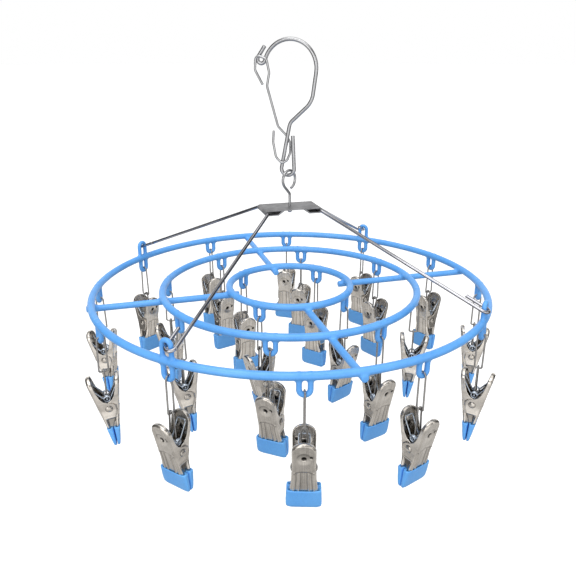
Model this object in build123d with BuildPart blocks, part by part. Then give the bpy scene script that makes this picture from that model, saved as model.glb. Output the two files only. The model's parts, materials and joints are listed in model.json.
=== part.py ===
from build123d import *
from math import asin, cos, radians, sin
import os

# Hanging drying rack of coated wire rings, with sprung clothes clips under them.
# Millimetres. The origin is the rail seat, the centre of the hook's round crown,
# and +Z is up. The whole rack hangs on the Z axis below it.

# ---------------------------------------------------------------- driving sizes
RING_Z = -171.5  # height of the plane that the three rings lie in
OUTER_RING = 160.0  # centre-line radii of the rings
MIDDLE_RING = 105.0
INNER_RING = 50.5
RING_WIRE = 2.9  # radius of the rings' wire with its coating
SPOKE_WIRE = 2.6
SPOKE_DROP = 3.6  # the spokes are welded under the rings
SPOKE_INNER_END = 44.0
SPOKE_OUTER_END = 163.2

EAR_WIRE = 1.95  # radius of the ears' coated wire
EAR_BEND = 3.55  # centre-line radius of their U bend
EAR_BEND_Z = -9.2  # centre of the ears' bend, from the ring plane
EAR_TOP_Z = 3.4  # cut ends stand a little above the ring
EYE_WIRE = 1.75  # the arm eyes are bent from a thinner coated wire
EYE_BEND = 3.65
EYE_BEND_Z = 10.95  # centre of the arm eyes' bend, from the ring plane
EYE_FOOT_Z = -1.0

PLATE_TOP_Z = 67.5  # from the ring plane
PLATE_HALF_DEPTH = 12.5
SHEET = 0.8
HEM_X = 21.6  # axis of each hem's bore
HEM_BORE = 1.36
HEM_FLAT = 9.0  # length of the hem's lower leg, from the bore's axis
HEM_SLANT = 5.0  # run of the leg's slanted end
PLATE_HOLE = 1.13

BOW_WIRE = 1.3
BOW_CORNER = 14.4  # half-width of a bow at the plate
BOW_CORNER_BEND = 3.5
BOW_EYE_Z = 10.7  # height of the bow's wire in the arm eye
BOW_RETURN = 16.0  # length of the hooked end's return leg

SWIVEL_WIRE = 1.05
SWIVEL_EYE = 7.3
SWIVEL_EYE_X = -0.9
SWIVEL_EYE_Z = 88.7  # from the ring plane
SWIVEL_FOOT_Z = 62.7
SWIVEL_HEAD = 1.75
SWIVEL_TURN = 33.0  # turn of the swivel's eye about Z
HOOK_TURN = -34.3  # turn of the hook's plane about Z

HOOK_WIRE = 1.5
CROWN = 20.5  # centre-line radius of the hook's crown
CROWN_TIP_ANGLE = 164.0
CROWN_SIDE_ANGLE = -8.0
TIP_BEND = 3.0
TIP_TURN = 199.0
TIP_STUB = 9.0
LATCH_WIRE = 0.95
LATCH_OFFSET = 2.8  # the latch lies this far in front of the hook's plane

CLIP_TOP_Z = -39.8  # from the ring plane
CLIP_COIL_Z = -58.3
CLIP_NOTCH_Z = -61.3
CLIP_PIVOT_Z = -65.3
SLEEVE_TOP_Z = -83.8
CLIP_TIP_Z = -96.0
LEAF_SHEET = 0.8
HANDLE_SPLAY = 12.0  # distance of a handle's top from the clip's mid-plane
NOTCH_HALF = 8.0
SLEEVE_HALF = 3.5
JAW_HALF = 1.9
LEAF_HALF_WIDTH = 7.9
JAW_HALF_WIDTH = 9.6
SLEEVE_HALF_WIDTH = 11.8
SLEEVE_WALL = 0.8
SLEEVE_GAP = 0.15  # half the gap between the two jaws
FRONT_PLATE_Y = 7.5  # middle of the front leaf's side plates
REAR_PLATE_Y = 6.4
PLATE_REACH = 4.6  # how far the side plates reach past the pivot
RIB_PITCH = 2.6
RIB_COUNT = 5
DIMPLE = 1.15  # radius of the dimples that the clip turns on
DIMPLE_HOLE = 1.22
LINK_WIRE = 0.65
LINK_TOP_BEND = 2.9  # the upper link's bend round the ear
LINK_FOOT_HALF = 3.6  # half the upper link's width at its squared foot
LINK_FOOT_BEND = 1.3
LINK_EYE_BEND = 1.9  # the lower link's eye
LINK_JOINT_Z = -37.5  # lowest wire of the upper link
STIRRUP_HALF = 2.6
COIL_OUTER = 3.0
COIL_INNER = 0.9
COIL_NEAR_Y = 3.45  # each spring's two coils stand outside the stirrup's legs
COIL_FAR_Y = 5.75
SPRING_WIRE = 0.6
BRIDGE_Y = 4.05  # half-width of the spring's bridge, which bears on the rear handle
BRIDGE_FOOT = (2.3, 0.5)  # where the bridge leaves the coils, from their axis
BRIDGE_TOP = (9.1, 11.0)  # where it crosses behind the rear handle
ARM_Y = 4.6  # the spring's two arms bear on the front handle
ARM_FOOT = (6.6, 6.0)
ARM_TOP = (9.1, 11.5)
PIN_HALF = 5.6  # half-length of the pin through the coils
PIN_WIRE = 0.75  # radius of that pin

# Where each ear stands round its ring. They are welded on by hand, not quite evenly.
OUTER_ANGLES = [15, 45, 75, 105, 135, 165, 195, 225, 257, 286, 315, 345]
MIDDLE_ANGLES = [22.5, 67.5, 112.5, 157.5, 202.5, 246.5, 292.5, 337.5]
INNER_ANGLES = [45, 128, 226, 315]
EYE_ANGLES = [45, 135, 225, 315]

# How each clip hangs: its turn about its own upright axis, then the lean of its jaws
# towards the rack's axis.
OUTER_HANG = [(8, 4), (-15, 4), (-18, 4), (0, 4), (-12, 4), (0, 6)]
OUTER_HANG += [(-13, 6), (-5, 3), (-5, 2), (5, 3), (3, 2.5), (-12, 3)]
MIDDLE_HANG = [(0, 4), (-15, 4), (-5, 4), (0, 5), (-15, 5), (-15, 4), (-6, 3), (-5, 4)]
INNER_HANG = [(-4, 4), (-30, 4), (-32, 4), (-20, 4)]

EAR_Z = EAR_BEND_Z - EAR_BEND  # centre of an ear's lowest wire


def polar_plane(radius, angle, height=RING_Z):
    """A plane at an angle round the rack, with X outward and Y along the ring."""
    outward = Vector(cos(radians(angle)), sin(radians(angle)), 0)
    return Plane(origin=outward * radius + Vector(0, 0, height), x_dir=outward, z_dir=(0, 0, 1))


def turned_plane(turn):
    """An upright plane through the Z axis, with its Y up and its Z towards the front."""
    return Plane(
        origin=(0, 0, 0),
        x_dir=(cos(radians(turn)), sin(radians(turn)), 0),
        z_dir=(sin(radians(turn)), -cos(radians(turn)), 0),
    )


os.makedirs("parts", exist_ok=True)

STATIONS = [(OUTER_RING, angle) for angle in OUTER_ANGLES]
STATIONS += [(MIDDLE_RING, angle) for angle in MIDDLE_ANGLES]
STATIONS += [(INNER_RING, angle) for angle in INNER_ANGLES]

# ---------------------------------------------------------------- rack wires
with BuildPart() as outer_ring:
    with BuildSketch(Plane.XZ):
        with Locations((OUTER_RING, RING_Z)):
            Circle(RING_WIRE)
    revolve(axis=Axis.Z)

with BuildPart() as middle_ring:
    with BuildSketch(Plane.XZ):
        with Locations((MIDDLE_RING, RING_Z)):
            Circle(RING_WIRE)
    revolve(axis=Axis.Z)

with BuildPart() as inner_ring:
    with BuildSketch(Plane.XZ):
        with Locations((INNER_RING, RING_Z)):
            Circle(RING_WIRE)
    revolve(axis=Axis.Z)

with BuildPart() as spoke:
    with BuildSketch(Plane.YZ.offset(SPOKE_INNER_END)):
        with Locations((0, RING_Z - SPOKE_DROP)):
            Circle(SPOKE_WIRE)
    extrude(amount=SPOKE_OUTER_END - SPOKE_INNER_END)
    fillet(spoke.edges().filter_by(GeomType.CIRCLE), radius=SPOKE_WIRE * 0.6)

with BuildPart() as cross_spokes:
    with PolarLocations(0, 4):
        add(spoke.part)

# An ear is a U of wire under the ring. Its cut ends stand just above the ring.
with BuildPart() as ear:
    with BuildSketch(Plane.XY.offset(EAR_BEND_Z)):
        with Locations((0, EAR_BEND), (0, -EAR_BEND)):
            Circle(EAR_WIRE)
    extrude(amount=EAR_TOP_Z - EAR_BEND_Z)
    fillet(ear.edges().group_by(Axis.Z)[-1], radius=EAR_WIRE * 0.6)
    with BuildSketch(Plane.XY.offset(EAR_BEND_Z)):
        with Locations((0, EAR_BEND)):
            Circle(EAR_WIRE)
    revolve(axis=Axis((0, 0, EAR_BEND_Z), (-1, 0, 0)), revolution_arc=180)

# An arm eye is the same U, upright on the outer ring.
with BuildPart() as arm_eye:
    with BuildSketch(Plane.XY.offset(EYE_BEND_Z)):
        with Locations((0, EYE_BEND), (0, -EYE_BEND)):
            Circle(EYE_WIRE)
    extrude(amount=EYE_FOOT_Z - EYE_BEND_Z)
    with BuildSketch(Plane.XY.offset(EYE_BEND_Z)):
        with Locations((0, EYE_BEND)):
            Circle(EYE_WIRE)
    revolve(axis=Axis((0, 0, EYE_BEND_Z), (1, 0, 0)), revolution_arc=180)

with BuildPart() as clip_ears:
    with Locations(*[polar_plane(radius, angle) for radius, angle in STATIONS]):
        add(ear.part)

with BuildPart() as arm_eyes:
    with Locations(*[polar_plane(OUTER_RING, angle) for angle in EYE_ANGLES]):
        add(arm_eye.part)

# ---------------------------------------------------------------- centre plate
PLATE_Z = RING_Z + PLATE_TOP_Z
HEM_Z = PLATE_Z - SHEET - HEM_BORE
HEM_OUTER = HEM_BORE + SHEET

with BuildPart() as centre_plate:
    with BuildSketch(Plane.XZ):
        with BuildLine():
            lower_left = HEM_Z - HEM_OUTER
            slant_foot = HEM_X - HEM_FLAT
            Line((0, PLATE_Z), (HEM_X, PLATE_Z))
            CenterArc((HEM_X, HEM_Z), HEM_OUTER, 90, -180)
            Line((HEM_X, lower_left), (slant_foot, lower_left))
            Line((slant_foot, lower_left), (slant_foot - HEM_SLANT, PLATE_Z - SHEET))
            Line((slant_foot - HEM_SLANT, PLATE_Z - SHEET), (0, PLATE_Z - SHEET))
            Line((0, PLATE_Z - SHEET), (0, PLATE_Z))
        make_face()
        with BuildLine(mode=Mode.PRIVATE) as pocket_line:
            pocket_foot = slant_foot + SHEET / 2
            CenterArc((HEM_X, HEM_Z), HEM_BORE, 90, -180)
            Line((HEM_X, HEM_Z - HEM_BORE), (pocket_foot, HEM_Z - HEM_BORE))
            Line((pocket_foot, HEM_Z - HEM_BORE), (pocket_foot - 3.0, HEM_Z + HEM_BORE))
            Line((pocket_foot - 3.0, HEM_Z + HEM_BORE), (HEM_X, HEM_Z + HEM_BORE))
        make_face(pocket_line.edges(), mode=Mode.SUBTRACT)
        mirror(about=Plane.YZ)
    extrude(amount=PLATE_HALF_DEPTH, both=True)
    with Locations((0, 0, PLATE_Z)):
        Hole(radius=PLATE_HOLE)

# ---------------------------------------------------------------- bows
# Each bow is one wire: its middle turns in a hem, and each arm ends in a hook that
# passes round the far leg of an arm eye and back through the eye.
EYE_XY = OUTER_RING * cos(radians(45))
LEG_SHIFT = EYE_BEND * cos(radians(45))
leg_point = Vector(EYE_XY - LEG_SHIFT, EYE_XY + LEG_SHIFT, RING_Z + BOW_EYE_Z)
corner_point = Vector(HEM_X, BOW_CORNER, HEM_Z)
reach = leg_point - corner_point
level_side = Vector(reach.Y, -reach.X, 0).normalized()
arm_plane = Plane(origin=corner_point, x_dir=reach, z_dir=reach.cross(level_side))
arm_turn = asin(EYE_BEND / reach.length)

with BuildPart() as bow:
    with BuildLine() as bow_line:
        leg = Vector(reach.length, 0)
        forward = Vector(cos(arm_turn), -sin(arm_turn)) * EYE_BEND
        sideways = Vector(sin(arm_turn), cos(arm_turn)) * EYE_BEND
        touch = arm_plane.from_local_coords(leg - sideways)
        far = arm_plane.from_local_coords(leg + forward)
        back = arm_plane.from_local_coords(leg + sideways)
        FilletPolyline((HEM_X, 0, HEM_Z), corner_point, touch, radius=BOW_CORNER_BEND)
        ThreePointArc(touch, far, back)
        Line(back, back + (corner_point - touch).normalized() * BOW_RETURN)
    with BuildSketch(Plane(origin=bow_line.line @ 0, z_dir=bow_line.line % 0)):
        Circle(BOW_WIRE)
    sweep()
    mirror(about=Plane.XZ)

with BuildPart() as right_bow:
    add(bow.part)

with BuildPart() as left_bow:
    mirror(bow.part, about=Plane.YZ)

# ---------------------------------------------------------------- swivel
swivel_plane = turned_plane(SWIVEL_TURN)
SWIVEL_END_ANGLE = 225.0
SWIVEL_START_ANGLE = -70.0

with BuildPart() as swivel:
    with BuildLine(swivel_plane) as swivel_line:
        CenterArc(
            (SWIVEL_EYE_X, RING_Z + SWIVEL_EYE_Z),
            SWIVEL_EYE,
            SWIVEL_START_ANGLE,
            SWIVEL_END_ANGLE - SWIVEL_START_ANGLE,
        )
        eye_end_x = SWIVEL_EYE_X + SWIVEL_EYE * cos(radians(SWIVEL_END_ANGLE))
        eye_end_z = SWIVEL_EYE_Z + SWIVEL_EYE * sin(radians(SWIVEL_END_ANGLE))
        FilletPolyline(
            (eye_end_x, RING_Z + eye_end_z),
            (0, RING_Z + eye_end_z + eye_end_x),
            (0, RING_Z + SWIVEL_FOOT_Z),
            radius=3.0,
        )
    with BuildSketch(Plane(origin=swivel_line.line @ 0, z_dir=swivel_line.line % 0)):
        Circle(SWIVEL_WIRE)
    sweep()
    with BuildSketch(Plane.XY.offset(RING_Z + SWIVEL_FOOT_Z)):
        Circle(SWIVEL_HEAD)
    extrude(amount=PLATE_TOP_Z - SHEET - 0.3 - SWIVEL_FOOT_Z)
    fillet(swivel.edges().filter_by(GeomType.CIRCLE).group_by(Axis.Z)[0], radius=0.5)

# ---------------------------------------------------------------- hook and latch
hook_plane = turned_plane(HOOK_TURN)
TIP_CENTRE = Vector(
    (CROWN + TIP_BEND) * cos(radians(CROWN_TIP_ANGLE)),
    (CROWN + TIP_BEND) * sin(radians(CROWN_TIP_ANGLE)),
)
TIP_START = CROWN_TIP_ANGLE + 180 - TIP_TURN
side_x = CROWN * cos(radians(CROWN_SIDE_ANGLE))
side_y = CROWN * sin(radians(CROWN_SIDE_ANGLE))
SIDE_RUN = 21.2
side_corner = (
    side_x + SIDE_RUN * sin(radians(CROWN_SIDE_ANGLE)),
    side_y - SIDE_RUN * cos(radians(CROWN_SIDE_ANGLE)),
)
stub_foot = TIP_CENTRE + Vector(cos(radians(TIP_START)), sin(radians(TIP_START))) * TIP_BEND
stub_end = stub_foot + Vector(sin(radians(TIP_START)), -cos(radians(TIP_START))) * TIP_STUB

with BuildPart() as hook:
    with BuildLine(hook_plane) as hook_line:
        Line((stub_end.X, stub_end.Y), (stub_foot.X, stub_foot.Y))
        CenterArc((TIP_CENTRE.X, TIP_CENTRE.Y), TIP_BEND, TIP_START, TIP_TURN)
        CenterArc((0, 0), CROWN, CROWN_TIP_ANGLE, CROWN_SIDE_ANGLE - CROWN_TIP_ANGLE)
        FilletPolyline(
            (side_x, side_y),
            side_corner,
            (0.1, -39.4),
            (-7.9, -79.4),
            (3.8, -79.4),
            (2.4, -49.2),
            radius=(16.0, 8.0, 5.0, 5.0),
        )
    with BuildSketch(Plane(origin=hook_line.line @ 0, z_dir=hook_line.line % 0)):
        Circle(HOOK_WIRE)
    sweep()

with BuildPart() as latch:
    with BuildLine(hook_plane) as latch_line:
        FilletPolyline(
            (-20.8, -11.4, LATCH_OFFSET),
            (-26.8, -1.0, LATCH_OFFSET),
            (-26.0, 9.8, LATCH_OFFSET),
            (-17.6, 6.8, LATCH_OFFSET),
            (-15.4, -3.0, LATCH_OFFSET),
            (-17.3, -12.5, LATCH_OFFSET),
            (-10.4, -42.5, -2.4),
            (-3.4, -49.6, -3.0),
            (-0.4, -55.0, -2.7),
            (0.3, -62.0, 0.0),
            (-1.4, -67.4, 2.4),
            (-5.4, -69.8, 3.0),
            (-10.4, -65.5, 2.8),
            (-12.9, -54.0, 2.2),
            (-12.4, -45.5, 2.0),
            radius=(4.0, 3.0, 3.0, 5.0, 8.0, 4.0, 2.6, 2.6, 2.6, 2.2, 2.4, 5.0, 5.0),
        )
    with BuildSketch(Plane(origin=latch_line.line @ 0, z_dir=latch_line.line % 0)):
        Circle(LATCH_WIRE)
    sweep()

# ---------------------------------------------------------------- clip pieces
# One clip is drawn at a station, with X outward, Y along the ring and Z up from the
# ring plane. Its front leaf and sleeve are the jaw that opens; the rest hangs.
LEAF_LINE = [
    (HANDLE_SPLAY, CLIP_TOP_Z),
    (NOTCH_HALF, CLIP_NOTCH_Z),
    (SLEEVE_HALF, SLEEVE_TOP_Z),
    (JAW_HALF, CLIP_TIP_Z + SLEEVE_WALL),
]
LEAF_BACK = [(x - LEAF_SHEET, z) for x, z in reversed(LEAF_LINE)]
SHOULDER = 7.3  # half-width where the handle's round top begins
SHOULDER_Z = CLIP_TOP_Z - 5.0
LEAF_EDGE = [
    (SHOULDER, SHOULDER_Z),
    (LEAF_HALF_WIDTH, SHOULDER_Z - 3.5),
    (LEAF_HALF_WIDTH, CLIP_PIVOT_Z - 3.0),
    (JAW_HALF_WIDTH - 0.7, CLIP_PIVOT_Z - 14.0),
    (JAW_HALF_WIDTH, SLEEVE_TOP_Z),
    (JAW_HALF_WIDTH, CLIP_TIP_Z + SLEEVE_WALL),
]
SIDE_PLATE = [
    (HANDLE_SPLAY - 1.5, CLIP_TOP_Z - 4.5),
    (HANDLE_SPLAY - 4.4, CLIP_TOP_Z - 8.0),
    (NOTCH_HALF - 3.0, CLIP_NOTCH_Z + 3.0),
    (NOTCH_HALF - 6.0, CLIP_NOTCH_Z),
    (-PLATE_REACH, CLIP_NOTCH_Z),
    (-PLATE_REACH, CLIP_PIVOT_Z - 3.0),
    (SLEEVE_HALF - 0.6, SLEEVE_TOP_Z + 1.5),
    (NOTCH_HALF - 0.5, CLIP_NOTCH_Z),
]


def leaf(plate_y):
    """A jaw's leaf: a stamped sheet with ribs and a bent plate at each side."""
    rib_plane = Plane(
        origin=((NOTCH_HALF + SLEEVE_HALF) / 2 - 0.6, 0, (CLIP_NOTCH_Z + SLEEVE_TOP_Z) / 2 - 1.5),
        x_dir=(0, 1, 0),
        z_dir=(CLIP_NOTCH_Z - SLEEVE_TOP_Z, 0, SLEEVE_HALF - NOTCH_HALF),
    )
    with BuildPart() as piece:
        with BuildSketch(Plane.XZ):
            Polygon(*LEAF_LINE, *LEAF_BACK, align=None)
        extrude(amount=SLEEVE_HALF_WIDTH, both=True)
        with BuildSketch(Plane.YZ):
            with BuildLine():
                Polyline(*LEAF_EDGE, (0, CLIP_TIP_Z + SLEEVE_WALL))
                Line((0, CLIP_TIP_Z + SLEEVE_WALL), (0, CLIP_TOP_Z))
                ThreePointArc((0, CLIP_TOP_Z), (4.4, CLIP_TOP_Z - 1.2), (SHOULDER, SHOULDER_Z))
            make_face()
            mirror(about=Plane.YZ)
        extrude(amount=HANDLE_SPLAY + 1, mode=Mode.INTERSECT)
        with BuildSketch(rib_plane):
            with GridLocations(RIB_PITCH, 0, RIB_COUNT, 1):
                SlotOverall(16.0, 1.2, rotation=90)
        extrude(amount=0.7)
        with BuildSketch(Plane.XZ.offset(plate_y + LEAF_SHEET / 2)):
            Polygon(*SIDE_PLATE, align=None)
        extrude(amount=-LEAF_SHEET)
        with BuildSketch(Plane.XZ.offset(-plate_y - LEAF_SHEET / 2)):
            Polygon(*SIDE_PLATE, align=None)
        extrude(amount=LEAF_SHEET)
    return piece.part


with BuildPart() as front_leaf:
    add(leaf(FRONT_PLATE_Y))
    for side in (1, -1):
        with BuildSketch(Plane.XZ.offset(side * FRONT_PLATE_Y)):
            with Locations((0, CLIP_PIVOT_Z)):
                Circle(DIMPLE)
        extrude(amount=-side * (FRONT_PLATE_Y - REAR_PLATE_Y + LEAF_SHEET / 2))

with BuildPart() as rear_leaf:
    mirror(leaf(REAR_PLATE_Y), about=Plane.YZ)
    with BuildSketch(Plane.XZ):
        with Locations((0, CLIP_PIVOT_Z)):
            Circle(DIMPLE_HOLE)
    extrude(amount=REAR_PLATE_Y + 1, both=True, mode=Mode.SUBTRACT)

with BuildPart() as front_sleeve:
    with BuildSketch(Plane.XZ):
        Polygon(
            (SLEEVE_GAP, SLEEVE_TOP_Z),
            (SLEEVE_HALF + SLEEVE_WALL, SLEEVE_TOP_Z),
            (JAW_HALF + SLEEVE_WALL, CLIP_TIP_Z),
            (SLEEVE_GAP, CLIP_TIP_Z),
            align=None,
        )
    extrude(amount=SLEEVE_HALF_WIDTH, both=True)
    fillet(front_sleeve.edges().filter_by(Axis.Y).group_by(Axis.Z)[0], radius=0.6)
    fillet(front_sleeve.edges().filter_by(Plane.XY).filter_by(Axis.X), radius=1.2)
    add(front_leaf.part, mode=Mode.SUBTRACT)

with BuildPart() as rear_sleeve:
    mirror(front_sleeve.part, about=Plane.YZ)

with BuildPart() as spring:
    with BuildSketch(Plane.XZ.offset(COIL_NEAR_Y)):
        with Locations((0, CLIP_COIL_Z)):
            Circle(COIL_OUTER)
            Circle(COIL_INNER, mode=Mode.SUBTRACT)
    extrude(amount=COIL_FAR_Y - COIL_NEAR_Y)
    mirror(about=Plane.XZ)
    with BuildLine() as bridge_line:
        FilletPolyline(
            (-BRIDGE_FOOT[0], -BRIDGE_Y, CLIP_COIL_Z + BRIDGE_FOOT[1]),
            (-BRIDGE_TOP[0], -BRIDGE_Y, CLIP_COIL_Z + BRIDGE_TOP[1]),
            (-BRIDGE_TOP[0], BRIDGE_Y, CLIP_COIL_Z + BRIDGE_TOP[1]),
            (-BRIDGE_FOOT[0], BRIDGE_Y, CLIP_COIL_Z + BRIDGE_FOOT[1]),
            radius=1.2,
        )
    with BuildSketch(Plane(origin=bridge_line.line @ 0, z_dir=bridge_line.line % 0)):
        Circle(SPRING_WIRE)
    sweep()

with BuildPart() as spring_arms:
    arm_foot = Vector(ARM_FOOT[0], ARM_Y, CLIP_COIL_Z + ARM_FOOT[1])
    arm_tip = Vector(ARM_TOP[0], ARM_Y, CLIP_COIL_Z + ARM_TOP[1])
    with BuildSketch(Plane(origin=arm_foot, z_dir=arm_tip - arm_foot)):
        Circle(SPRING_WIRE)
    extrude(amount=(arm_tip - arm_foot).length)
    mirror(about=Plane.XZ)

with BuildPart() as upper_link:
    with BuildLine(Plane.XZ) as link_line:
        top_arc = CenterArc((0, EAR_Z), LINK_TOP_BEND, 0, 180)
        FilletPolyline(
            (-LINK_TOP_BEND, EAR_Z),
            (-LINK_FOOT_HALF, LINK_JOINT_Z),
            (LINK_FOOT_HALF, LINK_JOINT_Z),
            (LINK_TOP_BEND, EAR_Z),
            radius=LINK_FOOT_BEND,
        )
    with BuildSketch(Plane(origin=top_arc @ 0, z_dir=top_arc % 0)):
        Circle(LINK_WIRE)
    sweep(path=link_line.line, transition=Transition.ROUND)

STIRRUP_EYE_Z = LINK_JOINT_Z + 2 * LINK_WIRE + 0.15 - LINK_EYE_BEND

with BuildPart() as lower_link:
    with BuildLine(Plane.YZ) as stirrup_line:
        eye_arc = CenterArc((0, STIRRUP_EYE_Z), LINK_EYE_BEND, 0, 180)
        FilletPolyline(
            (-LINK_EYE_BEND, STIRRUP_EYE_Z),
            (-LINK_EYE_BEND, STIRRUP_EYE_Z - 5.0),
            (-STIRRUP_HALF, CLIP_COIL_Z + 4.0),
            (-STIRRUP_HALF, CLIP_COIL_Z),
            (STIRRUP_HALF, CLIP_COIL_Z),
            (STIRRUP_HALF, CLIP_COIL_Z + 4.0),
            (LINK_EYE_BEND, STIRRUP_EYE_Z - 5.0),
            (LINK_EYE_BEND, STIRRUP_EYE_Z),
            radius=(3.0, 3.0, 0.75, 0.75, 3.0, 3.0),
        )
    with BuildSketch(Plane(origin=eye_arc @ 0, z_dir=eye_arc % 0)):
        Circle(LINK_WIRE)
    sweep()
    with BuildSketch(Plane.XZ):
        with Locations((0, CLIP_COIL_Z)):
            Circle(PIN_WIRE)
    extrude(amount=PIN_HALF, both=True)

# ---------------------------------------------------------------- files
for name, piece in {
    "outer_ring": outer_ring,
    "middle_ring": middle_ring,
    "inner_ring": inner_ring,
    "cross_spokes": cross_spokes,
    "clip_ears": clip_ears,
    "arm_eyes": arm_eyes,
    "centre_plate": centre_plate,
    "left_bow": left_bow,
    "right_bow": right_bow,
    "swivel": swivel,
    "hook": hook,
    "latch": latch,
}.items():
    piece.part.label = name
    export_step(piece.part, f"parts/{name}.step")

# Each clip is two nodes, in which the pieces stay separate solids. The upper link keeps
# to the ear, the lower link turns with the clip, and the clip leans about its coils.
HANGS = OUTER_HANG + MIDDLE_HANG + INNER_HANG
coil = Location((0, 0, CLIP_COIL_Z))
for number, ((radius, angle), (turn, lean)) in enumerate(zip(STATIONS, HANGS), start=1):
    station = polar_plane(radius, angle).location
    turned = station * Location((0, 0, 0), (0, 0, turn))
    leaned = turned * coil * Location((0, 0, 0), (0, lean, 0)) * coil.inverse()
    hanger = [upper_link.part.moved(station), lower_link.part.moved(turned)]
    hanger += [piece.part.moved(leaned) for piece in (spring, rear_leaf, rear_sleeve)]
    jaw = [piece.part.moved(leaned) for piece in (front_leaf, front_sleeve, spring_arms)]
    for name, pieces in {"hanger": hanger, "jaw": jaw}.items():
        group = Compound(label=f"clip_{number:02d}_{name}", children=pieces)
        export_step(group, f"parts/{group.label}.step")
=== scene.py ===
import json
import math

import bmesh
import bpy
import numpy as np
from mathutils import Matrix, Vector


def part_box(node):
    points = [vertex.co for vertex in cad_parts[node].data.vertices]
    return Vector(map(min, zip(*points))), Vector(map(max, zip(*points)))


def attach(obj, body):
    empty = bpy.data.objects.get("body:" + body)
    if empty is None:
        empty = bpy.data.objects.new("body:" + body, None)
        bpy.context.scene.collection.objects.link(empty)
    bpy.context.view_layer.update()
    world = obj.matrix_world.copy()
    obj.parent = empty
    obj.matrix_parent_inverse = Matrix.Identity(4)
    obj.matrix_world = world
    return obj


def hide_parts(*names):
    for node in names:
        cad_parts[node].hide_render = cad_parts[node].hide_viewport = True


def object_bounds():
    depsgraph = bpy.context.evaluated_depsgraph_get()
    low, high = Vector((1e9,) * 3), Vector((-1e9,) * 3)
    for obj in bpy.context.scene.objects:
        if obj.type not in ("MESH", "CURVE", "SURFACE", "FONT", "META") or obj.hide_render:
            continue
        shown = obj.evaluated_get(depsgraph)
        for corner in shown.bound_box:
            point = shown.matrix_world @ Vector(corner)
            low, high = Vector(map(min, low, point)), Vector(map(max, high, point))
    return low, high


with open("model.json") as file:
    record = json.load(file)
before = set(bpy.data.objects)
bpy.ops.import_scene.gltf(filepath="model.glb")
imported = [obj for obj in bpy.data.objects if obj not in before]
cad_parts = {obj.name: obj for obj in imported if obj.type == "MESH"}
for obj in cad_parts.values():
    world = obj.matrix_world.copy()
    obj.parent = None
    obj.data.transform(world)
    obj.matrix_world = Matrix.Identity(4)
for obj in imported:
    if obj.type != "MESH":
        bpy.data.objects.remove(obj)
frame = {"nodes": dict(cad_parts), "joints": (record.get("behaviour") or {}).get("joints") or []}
cad_low, cad_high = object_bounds()
joints = {joint["name"]: joint for joint in frame["joints"]}

MM = 0.001
X, Y, Z = (1, 0, 0), (0, 1, 0), (0, 0, 1)
RING_Z = (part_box("outer_ring")[0].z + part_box("outer_ring")[1].z) / 2 / MM


# ------------------------------------------------------------------ mesh helpers
def unit(vector):
    """The vector at length 1."""
    return vector / np.linalg.norm(vector)


def tube(path, radius, sides=14, closed=False, end_round=0.3):
    """A wire along a dense path in millimetres: vertices, quads and a seamless wire coordinate.

    The coordinate is (cos, sin, length) round and along the wire, for drawing lines.
    """
    path = np.asarray(path, float)
    count = len(path)
    if closed:
        tangents = np.roll(path, -1, 0) - np.roll(path, 1, 0)
    else:
        tangents = np.gradient(path, axis=0)
    tangents /= np.linalg.norm(tangents, axis=1)[:, None]
    steps = np.linalg.norm(np.diff(path, axis=0), axis=1)
    along = np.concatenate([[0.0], np.cumsum(steps)])
    start = np.array([0.0, 0.0, 1.0]) if abs(tangents[0][2]) < 0.9 else np.array([0.0, 1.0, 0.0])
    normal = unit(start - tangents[0] * (start @ tangents[0]))
    normals = []
    for tangent in tangents:
        normal = unit(normal - tangent * (normal @ tangent))
        normals.append(normal)
    normals = np.array(normals)
    twist = 0.0
    if closed:
        last = unit(normals[-1] - tangents[0] * (normals[-1] @ tangents[0]))
        twist = math.atan2(np.cross(last, normals[0]) @ tangents[0], last @ normals[0])
    binormals = np.cross(tangents, normals)
    rings = [(path[i], normals[i], binormals[i], radius, along[i], twist * i / count) for i in range(count)]
    if not closed and end_round > 0:
        first, last = rings[0], rings[-1]
        heads, tails = [], []
        for share in (0.0, 0.35, 0.7):
            size = radius - end_round * (1 - math.sin(math.acos(1 - share)))
            shift = end_round * (1 - share)
            heads.append((first[0] - tangents[0] * shift, first[1], first[2], size, -shift, 0.0))
            tails.append((last[0] + tangents[-1] * shift, last[1], last[2], size, last[4] + shift, 0.0))
        rings = heads + rings + tails[::-1]
    verts, coords, faces = [], [], []
    for centre, across, up, size, length, turn in rings:
        for k in range(sides):
            angle = 2 * math.pi * k / sides + turn
            verts.append(centre + size * (math.cos(angle) * across + math.sin(angle) * up))
            coords.append((math.cos(angle), math.sin(angle), length))
    total = len(rings)
    for i in range(total if closed else total - 1):
        for k in range(sides):
            a, b = i * sides + k, i * sides + (k + 1) % sides
            c, d = ((i + 1) % total) * sides + (k + 1) % sides, ((i + 1) % total) * sides + k
            faces.append((a, b, c, d))
    if not closed:
        faces.append(tuple(range(sides))[::-1])
        faces.append(tuple((total - 1) * sides + k for k in range(sides)))
    return np.array(verts), faces, np.array(coords)


def arc(centre, radius, start, end, axis_a, axis_b, step=6.0):
    """Points on a circle in the plane of two unit axes, angles in degrees."""
    count = max(2, int(abs(end - start) / step) + 1)
    angles = np.radians(np.linspace(start, end, count))
    a, b = np.asarray(axis_a, float), np.asarray(axis_b, float)
    return [np.asarray(centre, float) + radius * (math.cos(t) * a + math.sin(t) * b) for t in angles]


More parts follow.
